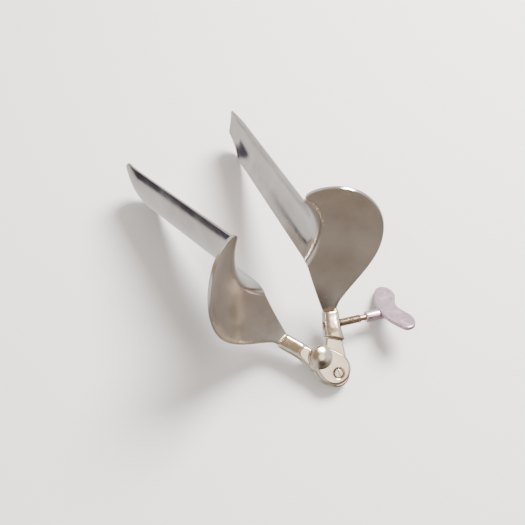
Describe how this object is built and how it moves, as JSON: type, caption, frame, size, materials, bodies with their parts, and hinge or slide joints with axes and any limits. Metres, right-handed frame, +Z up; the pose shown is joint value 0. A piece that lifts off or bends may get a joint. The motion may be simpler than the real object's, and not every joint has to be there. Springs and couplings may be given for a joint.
{
  "type": "side-screw bivalve speculum",
  "caption": "Polished metal bivalve speculum with two troughed blades, leaf-shaped flares, a slanting side hinge and a winged thumb screw.",
  "frame": {"origin": "centre of the bounding box on the table the instrument lies on", "axes": "+Z up from the table, +Y from the hinge towards the blade tips, +X towards the thumb screw"},
  "size_m": [0.0945, 0.1575, 0.0808],
  "materials": {
    "valve_sheet": "polished pressed sheet with a faint swirl",
    "forged_arm": "polished forging with warm reflections",
    "turned_screw": "turned, fine rings",
    "wing_plate": "satin, slightly worn"
  },
  "bodies": {
    "left_half": {"left_valve": "valve_sheet", "left_arm": "forged_arm", "pivot_screw": "turned_screw"},
    "right_half": {"right_valve": "valve_sheet", "right_arm": "forged_arm"},
    "screw_rod": {"thumb_screw": "turned_screw"},
    "thumb_piece": {"wing_hub": "wing_plate", "thumb_wing": "wing_plate"}
  },
  "joints": [
    {"name": "valve_opening", "type": "hinge", "parent": "left_half", "child": "right_half", "pos_m": [-0.0028, -0.07205, 0.00605], "axis": [0, 0.309, -0.9511], "range_deg": [-22.5, 20]},
    {"name": "screw_advance", "type": "slide", "parent": "right_half", "child": "screw_rod", "axis": [-0.9502, 0.2963, 0.0963], "range_m": [-0.0036, 0.0036]},
    {"name": "screw_turn", "type": "hinge", "parent": "screw_rod", "child": "thumb_piece", "pos_m": [0.01051, -0.0527, 0.01212], "axis": [-0.9502, 0.2963, 0.0963], "range_deg": [-1800, 1800]}
  ],
  "couplings": [
    {"joint": "screw_advance", "follows": "screw_turn", "m_per_rad": 0.00011141}
  ]
}
